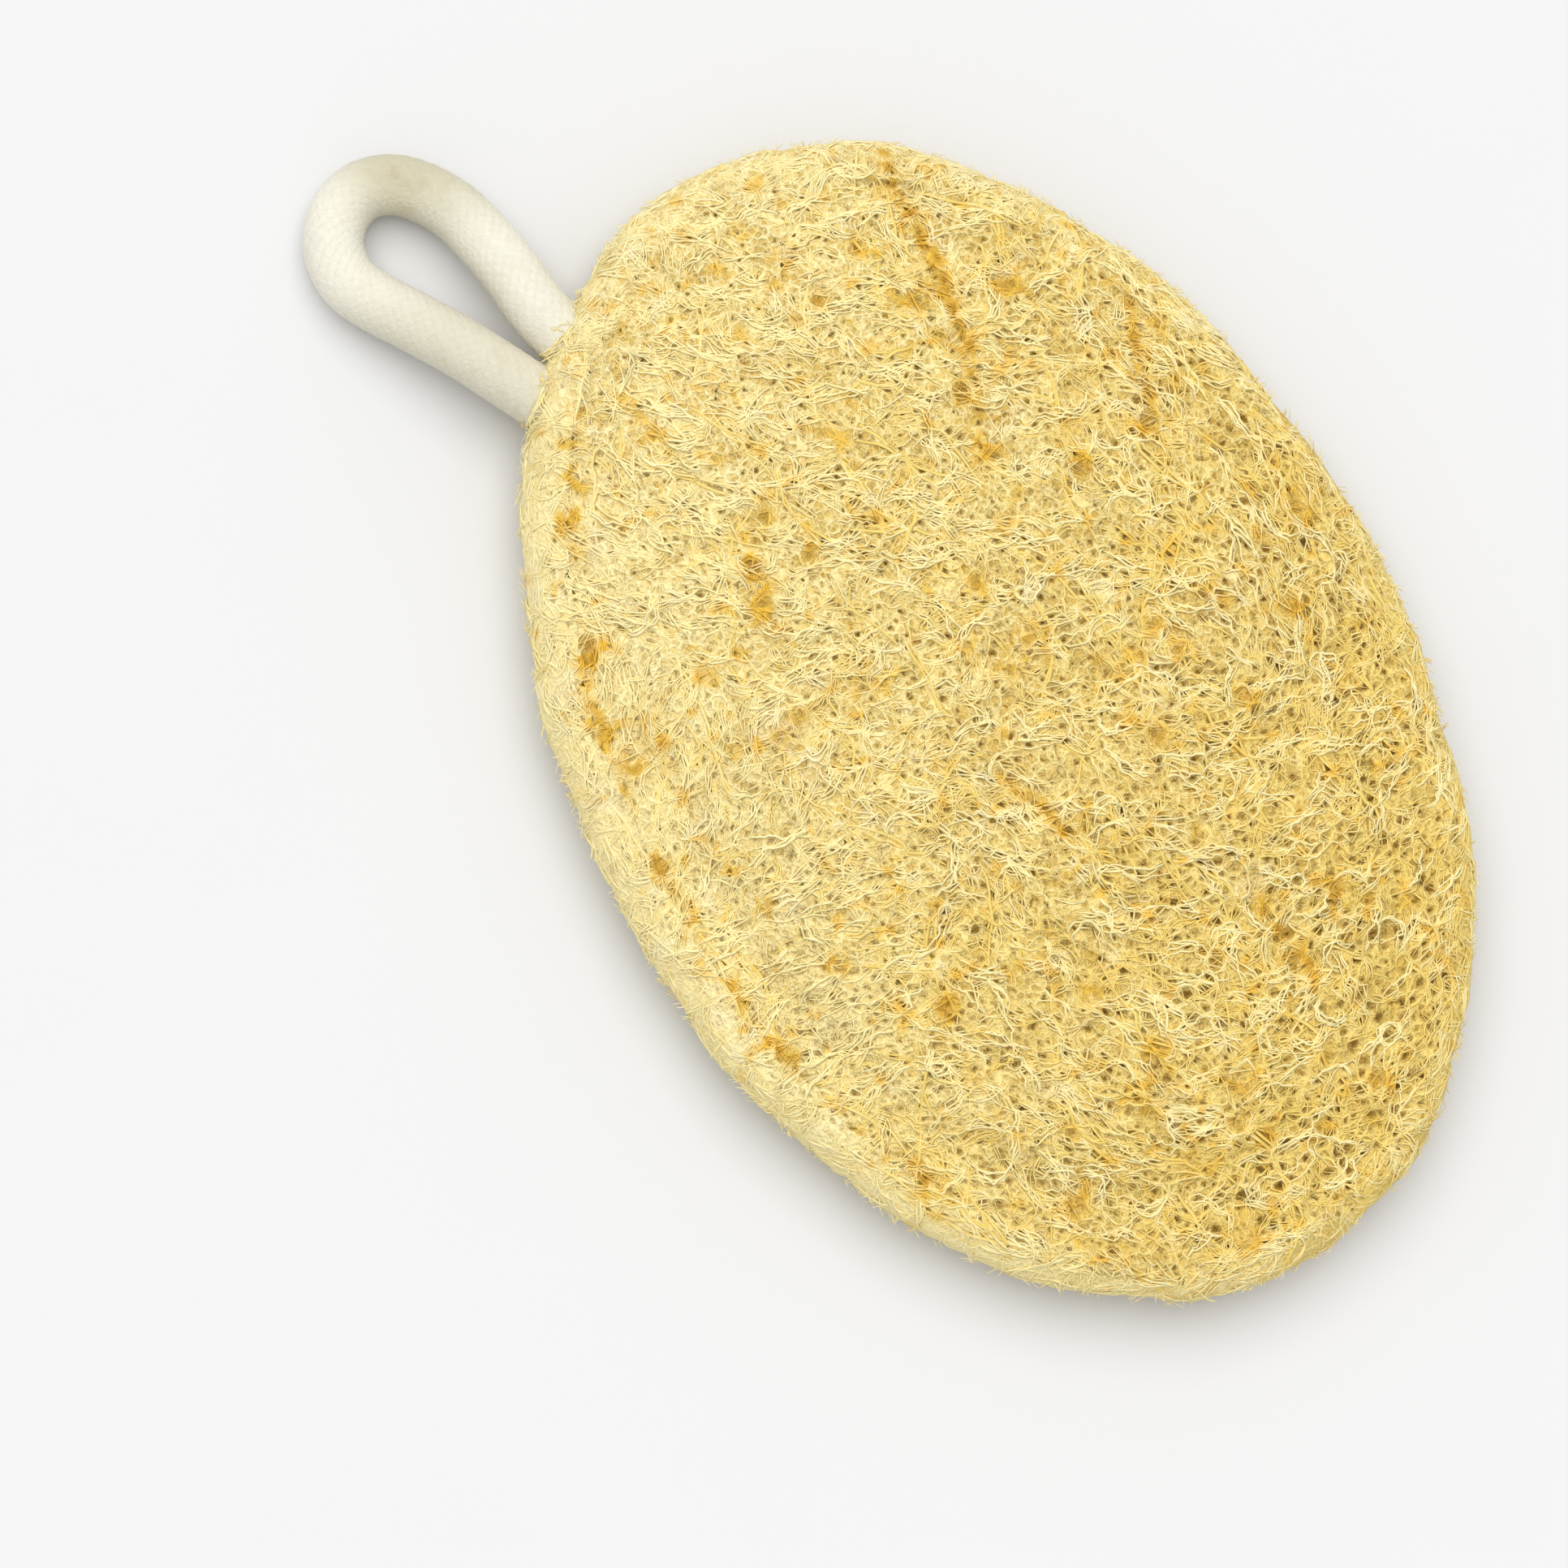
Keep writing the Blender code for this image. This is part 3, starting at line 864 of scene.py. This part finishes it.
# %% Finish the fibres and the ground
def fibre_finish():
    """The loose strands: each has its own tone, and is painted darker as shade where it lies over a pore
    or lies low.
    """
    paint = Paint("loofah_fibre")
    grain = paint.noise(0.6 * MM, detail=3)
    # Painted shade on strands where they lie over a pore.
    recess_shade = paint.attribute("pore") * 0.3
    colour = net_colour(paint, paint.attribute("tone"), grain, recess_shade, recess_shade * 0.5)
    fuzz = paint.bump(paint.noise(0.15 * MM), 0.02 * MM, 0.4)
    paint.finish(Base_Color=colour, Roughness=0.74 + grain * 0.2, Normal=fuzz)
    paint.shader.inputs["Specular IOR Level"].default_value = 0.2
    return paint.material


def ground_finish():
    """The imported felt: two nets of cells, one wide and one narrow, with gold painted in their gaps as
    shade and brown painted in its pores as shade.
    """
    paint = Paint("loofah_felt")
    grain = paint.noise(0.3 * MM, detail=4)
    dense = (paint.noise(3.5 * MM) - 0.5) * 0.3
    wide = paint.cells(1.3 * MM, 1.1 * MM) - dense
    narrow = paint.cells(0.75 * MM, 0.7 * MM) - dense
    holes = wide.between(0.05, 0.22) * 0.55 + narrow.between(0.05, 0.26) * 0.45
    holes = holes * (1 - paint.attribute("band") * 0.45)
    strands = 1 - holes
    # Painted shade: brown in the pores and the cells' insides, and gold in the gaps between strands.
    pore = (paint.attribute("pore") * 0.85 + holes * 0.25).between(0.1, 0.85)
    colour = net_colour(paint, 0.8 - grain * 0.6, grain, holes * 0.85 + 0.12, pore)
    felt = paint.bump(strands + grain * 0.3, 0.35 * MM, 0.8)
    paint.finish(Base_Color=colour, Roughness=0.8 + grain * 0.15, Normal=felt)
    paint.shader.inputs["Specular IOR Level"].default_value = 0.15
    return paint.material


fibre_paint = fibre_finish()
ground_paint = ground_finish()
print("finishes:", fibre_paint.name, ground_paint.name)

# %% [markdown]
# ## The felted ground
#
# Between the loose fibres the eye meets felt, packed too fine to model strand by strand. A closed
# ground a little under the surface stands for it, with its strands in the bump and every pore sunk
# into its mesh. It starts from two halves of a fine ball, spread over the faces by the pad's rule.

# %% Make the ground
GROUND_DEPTH = 0.18 * MM
PORE_SINK = 0.85 * MM
HOLLOW_SINK = 1.6 * MM
SINK_EDGE = 0.97
SINK_FADE = 0.04
GROUND_CLEARANCE = 0.1 * MM


def ground_mesh(fineness, upper):
    """One half of the ground, with its pores sunk in and every point marked."""
    bm = bmesh.new()
    bmesh.ops.create_icosphere(bm, subdivisions=fineness, radius=1)
    everything = bm.verts[:] + bm.edges[:] + bm.faces[:]
    bmesh.ops.bisect_plane(
        bm,
        geom=everything,
        plane_co=(0, 0, 0),
        plane_no=(0, 0, 1),
        clear_inner=upper,
        clear_outer=not upper,
    )
    ball = np.array([vert.co for vert in bm.verts])
    angle = np.arctan2(ball[:, 1], ball[:, 0])
    share = np.sqrt(np.maximum(1 - np.abs(ball[:, 2]), 0))
    edge = np.stack((HALF_WIDTH * np.cos(angle), HALF_LENGTH * np.sin(angle)), 1)
    unrolled = edge_reach(edge) + RIM_ROLL * (np.pi / 2 - 1)
    flat = edge / np.linalg.norm(edge, axis=1)[:, None] * (share * unrolled)[:, None]
    on_face = np.clip((SINK_EDGE - share) / SINK_FADE, 0, 1)
    nearest, _, _ = from_pore(flat)
    sink = np.where(nearest < len(HOLLOWS), HOLLOW_SINK, PORE_SINK)
    lift = -GROUND_DEPTH - sink * pore_depth(flat) * on_face
    place = lifted_on_pad(flat, lift, upper)
    place[:, 2] = np.maximum(place[:, 2], GROUND_CLEARANCE)
    for vert, point in zip(bm.verts, place):
        vert.co = point
    bmesh.ops.recalc_face_normals(bm, faces=bm.faces[:])
    if sum(face.normal.z for face in bm.faces) * (1 if upper else -1) < 0:
        bmesh.ops.reverse_faces(bm, faces=bm.faces[:])
    mesh = bpy.data.meshes.new("ground")
    bm.to_mesh(mesh)
    bm.free()
    mark(mesh, np.zeros(len(mesh.vertices)))
    return mesh


upper_ground = add_piece("upper_ground", ground_mesh(8, True), ground_paint)
add_piece("lower_ground", ground_mesh(7, False), ground_paint)
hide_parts("loofah_pad")

# %% [markdown]
# ## Growing the fibres
#
# Each fibre is a short wandering line, and fibres lie side by side in locks, like combed wool. All
# fibres of a layer grow together, as rows of one array: a lock's place and its heading, which drifts
# and curls, the stray of each strand from its lock, and a lift that rises and dips so that strands
# pass over and under each other and sink at both ends. The fuzz also rises towards its far end.
# Every line is then swept into a thin three-sided tube, because a shape that is repeated thousands
# of times has to stay cheap.

# %% Find places, clear of the rope
ROPE_CLEARANCE = 0.1 * MM
rope_tree = KDTree(len(rope_line))
for index, point in enumerate(rope_line):
    rope_tree.insert(point, index)
rope_tree.balance()
print("rope points:", len(rope_line))


def start_places(count, inner, outer, favour):
    """Scattered flat points, between two shares of the unrolled face and rim."""
    found = np.zeros((0, 2))
    unrolled = RIM_ROLL * (np.pi / 2 - 1)
    while len(found) < count:
        tried = chance.uniform(-1, 1, (count * 3, 2)) * (HALF_WIDTH * 1.3, HALF_LENGTH * 1.3)
        share = np.linalg.norm(tried, axis=1) / (edge_reach(tried) + unrolled)
        kept = (share > inner) & (share < outer)
        if favour:
            away = tried - np.array(favour[0]) * MM
            wanted = np.exp(-(away**2).sum(1) / (favour[1] * MM) ** 2)
            kept &= chance.random(len(tried)) < 0.12 + 0.88 * wanted
        found = np.vstack((found, tried[kept]))
    return found[:count]


def clear_of_rope(places):
    """Pushes points out of the rope, so that fibres grip it and don't run through it."""
    least = SOFT_RADIUS + ROPE_CLEARANCE
    low = rope_line.min(0) - least
    high = rope_line.max(0) + least
    for index in np.flatnonzero(((places > low) & (places < high)).all(1)):
        centre, _, distance = rope_tree.find(places[index])
        if distance < least:
            away = Vector(places[index]) - centre
            places[index] = centre + away * (least / max(distance, 0.1 * MM))
    return places


# %% Grow layers of fibre
# A three-sided tube of radius 1 looks this wide
WIDTH_OF_UNIT = 1.62
LOCK_STRAY = 0.10
LOCK_DEPTH = 0.05 * MM


def grow(layer, upper=True):
    """The lines, radii and lifts of one layer of fibres."""
    locks, strands, points = layer["locks"], layer["strands"], layer["points"]
    count = locks * strands
    middle = start_places(locks, layer["inner"], layer["outer"], layer.get("favour"))
    curl = chance.normal(0, layer["curl"], (locks, 1)) * (np.arange(points) - points / 2)
    drift = np.cumsum(chance.normal(0, layer["drift"], (locks, points)), axis=1)
    heading = layer["heading"](middle)[:, None] + curl + drift - drift.mean(1, keepdims=True)
    heading = np.repeat(heading, strands, axis=0)
    heading += np.cumsum(chance.normal(0, LOCK_STRAY, (count, points)), axis=1)
    middle = np.repeat(middle, strands, axis=0) + chance.normal(0, layer["spread"], (count, 2))
    steps = np.stack((np.cos(heading), np.sin(heading)), 2) * layer["step"]
    lines = np.cumsum(steps, axis=1)
    lines += (middle - lines.mean(axis=1))[:, None]
    flat = lines.reshape(-1, 2)
    if layer["parted"]:
        flat = part_round(flat)
    low, high = layer["lift"]
    lift = np.repeat(chance.uniform(low, high, (locks, 1)), strands, axis=0)
    lift = lift + chance.normal(0, LOCK_DEPTH, (count, 1))
    phase = chance.uniform(0, 2 * np.pi, (count, 1))
    share = np.linspace(0, 1, points)
    lift = lift + layer["weave"] * np.sin(share * layer["waves"] * np.pi + phase)
    lift = lift - layer["tuck"] * np.abs(2 * share - 1) ** 4 + layer.get("rise", 0) * share**1.5
    width = chance.uniform(*layer["width"], (count, 1))
    taper = 1 - 0.8 * np.abs(2 * share - 1) ** 7
    radius = width / WIDTH_OF_UNIT * taper
    places = lifted_on_pad(flat, lift.ravel(), upper)
    places = clear_of_rope(places)
    places[:, 2] = np.maximum(places[:, 2], radius.ravel())
    return places.reshape(count, points, 3), radius, lift


# %% Choose the headings
def with_the_flow(spread, scattered):
    """Headings along the flow, with a spread, and a share of them scattered every way."""

    def heading(places):
        turn = flow_at(places) + chance.normal(0, math.radians(spread), len(places))
        wild = chance.uniform(0, np.pi, len(places))
        return np.where(chance.random(len(places)) < scattered, wild, turn)

    return heading


def along_the_pad(spread):
    """Headings along the pad's long axis, with a spread."""

    def heading(places):
        return np.pi / 2 + chance.normal(0, math.radians(spread), len(places))

    return heading


def by_the_rim(turn, spread):
    """Headings at a turn from straight outwards: 0 crosses the rim, and 90 runs along it."""

    def heading(places):
        outward = np.arctan2(places[:, 1], places[:, 0]) + math.radians(turn)
        return outward + chance.normal(0, math.radians(spread), len(places))

    return heading


# %% Dress a layer
FIBRE_SIDES = 3
LOCK_TONE = 0.15
RECESS_SHADE_DEPTH = 0.4 * MM


def felt(name, layer, tones, upper=True):
    """Grows one layer and dresses it. Tones run from 0, pale, to 1, deep straw."""
    lines, radii, lift = grow(layer, upper)
    mesh = sweep(name, lines, radii, FIBRE_SIDES)
    tone = np.repeat(chance.uniform(*tones, layer["locks"]), layer["strands"])
    tone += chance.normal(0, LOCK_TONE, len(lines))
    # Strands that lie lower get a deeper tone, as painted shade.
    recess_shade = np.clip(-lift / RECESS_SHADE_DEPTH, 0, 1)
    mark(mesh, np.repeat(tone[:, None] + recess_shade, FIBRE_SIDES))
    close_up(mesh)
    return add_piece(name, mesh, fibre_paint)


# %% [markdown]
# ## The felt
#
# The upper face gets a few thick strands along the fruit, two layers of fine felt, pale streaks
# with the flow, and long curly locks that gather towards one end. The rim's strands run round it,
# with a thin fuzz that stands off, and the underside has its own layer, so the pad is whole from
# every side.

# %% Felt the upper face
DEEP = {
    "locks": 150, "strands": 2, "spread": 0.4 * MM, "points": 13, "step": 1.3 * MM,
    "inner": 0, "outer": 0.93, "heading": along_the_pad(25), "curl": 0.03, "drift": 0.16,
    "lift": (-0.4 * MM, -0.2 * MM), "weave": 0.08 * MM, "waves": 4, "tuck": 0.3 * MM,
    "width": (0.35 * MM, 0.5 * MM), "parted": True,
}
FINE = {
    "locks": 1100, "strands": 4, "spread": 0.33 * MM, "points": 8, "step": 0.62 * MM,
    "inner": 0, "outer": 0.93, "heading": with_the_flow(28, 0.3), "curl": 0.10, "drift": 0.26,
    "lift": (-0.28 * MM, -0.02 * MM), "weave": 0.05 * MM, "waves": 2, "tuck": 0.2 * MM,
    "width": (0.17 * MM, 0.26 * MM), "parted": True,
}
STREAKS = {
    "locks": 320, "strands": 4, "spread": 0.30 * MM, "points": 10, "step": 0.7 * MM,
    "inner": 0, "outer": 0.91, "heading": with_the_flow(14, 0.1), "curl": 0.06, "drift": 0.18,
    "lift": (-0.16 * MM, 0.0), "weave": 0.05 * MM, "waves": 3, "tuck": 0.3 * MM,
    "width": (0.19 * MM, 0.27 * MM), "parted": True,
}
CURLY = {
    "locks": 210, "strands": 4, "spread": 0.30 * MM, "points": 14, "step": 0.52 * MM,
    "inner": 0, "outer": 0.92, "heading": with_the_flow(25, 0.15), "curl": 0.13, "drift": 0.24,
    "lift": (-0.10 * MM, 0.08 * MM), "weave": 0.08 * MM, "waves": 4, "tuck": 0.4 * MM,
    "width": (0.20 * MM, 0.29 * MM), "parted": True, "favour": ((8, -40), 34),
}
felt("deep_strands", DEEP, (0.6, 1.2))
felt("fine_felt_a", FINE, (-0.2, 1.0))
felt("fine_felt_b", FINE, (-0.6, 0.8))
felt("pale_streaks", STREAKS, (-0.9, 0.1))
felt("curly_strands", CURLY, (-0.9, 0.1))

# %% Felt the rim and the underside
RIM = {
    "locks": 420, "strands": 4, "spread": 0.35 * MM, "points": 7, "step": 0.8 * MM,
    "inner": 0.90, "outer": 1.0, "heading": by_the_rim(80, 45), "curl": 0.08, "drift": 0.22,
    "lift": (-0.26 * MM, -0.04 * MM), "weave": 0.05 * MM, "waves": 2, "tuck": 0.2 * MM,
    "width": (0.18 * MM, 0.28 * MM), "parted": False,
}
FUZZ = {
    "locks": 1000, "strands": 2, "spread": 0.6 * MM, "points": 5, "step": 0.42 * MM,
    "inner": 0.88, "outer": 1.10, "heading": by_the_rim(0, 70), "curl": 0.12, "drift": 0.30,
    "lift": (-0.20 * MM, 0.0), "weave": 0.03 * MM, "waves": 1, "tuck": 0, "rise": 0.75 * MM,
    "width": (0.08 * MM, 0.13 * MM), "parted": False,
}
UNDER = {
    "locks": 520, "strands": 3, "spread": 0.6 * MM, "points": 7, "step": 1.3 * MM,
    "inner": 0, "outer": 0.94, "heading": with_the_flow(30, 0.3), "curl": 0.1, "drift": 0.22,
    "lift": (-0.25 * MM, 0.0), "weave": 0.08 * MM, "waves": 3, "tuck": 0.3 * MM,
    "width": (0.38 * MM, 0.50 * MM), "parted": True,
}
felt("rim_felt_upper", RIM, (-0.6, 0.5))
felt("rim_felt_lower", dict(RIM, locks=300, width=(0.22 * MM, 0.34 * MM)), (-0.3, 0.7), upper=False)
felt("rim_fuzz", FUZZ, (-0.8, 0.0))
felt("under_felt", UNDER, (0.0, 0.9), upper=False)

# %% [markdown]
# ## The floor and the light
#
# The pad lies on a plain pale table. A broad soft light comes from above, a little from the top left
# of the picture, and an even white sky fills the shadows. Only a short soft shade is left along the
# lower edges.

# %% Lay the floor
FLOOR_SIZE = 6
TABLE_DARK = (0.72, 0.72, 0.722, 1)
TABLE_PALE = (0.73, 0.73, 0.732, 1)
floor_bm = bmesh.new()
bmesh.ops.create_grid(floor_bm, x_segments=1, y_segments=1, size=FLOOR_SIZE / 2)
floor_mesh = bpy.data.meshes.new("floor")
floor_bm.to_mesh(floor_mesh)
floor_bm.free()
floor = bpy.data.objects.new("floor", floor_mesh)
bpy.context.scene.collection.objects.link(floor)
floor_paint = Paint("pale_table")
paper = floor_paint.noise(40 * MM)
floor_colour = floor_paint.mix(paper, TABLE_DARK, TABLE_PALE)
floor_mesh.materials.append(floor_paint.finish(Base_Color=floor_colour, Roughness=0.9))
print("floor, m:", FLOOR_SIZE)

# %% Light the scene
SKY_STRENGTH = 0.66
SUN_STRENGTH = 2.02
SUN_SPREAD = math.radians(60)
LIGHT_RIGHT = -0.14
LIGHT_UP = 0.32

world = bpy.data.worlds.new("soft_sky")
bpy.context.scene.world = world
world.use_nodes = True
background = world.node_tree.nodes["Background"]
background.inputs["Color"].default_value = (1, 1, 1, 1)
background.inputs["Strength"].default_value = SKY_STRENGTH

key_data = bpy.data.lights.new("key", "SUN")
key_data.energy = SUN_STRENGTH
key_data.angle = SUN_SPREAD
key = bpy.data.objects.new("key", key_data)
bpy.context.scene.collection.objects.link(key)
towards_light = picture_right * LIGHT_RIGHT + picture_up * LIGHT_UP + Vector((0, 0, 1))
key.rotation_euler = towards_light.to_track_quat("Z", "Y").to_euler()
bpy.context.scene.view_settings.view_transform = "Standard"
print("sun, strength and spread in degrees:", SUN_STRENGTH, round(math.degrees(SUN_SPREAD)))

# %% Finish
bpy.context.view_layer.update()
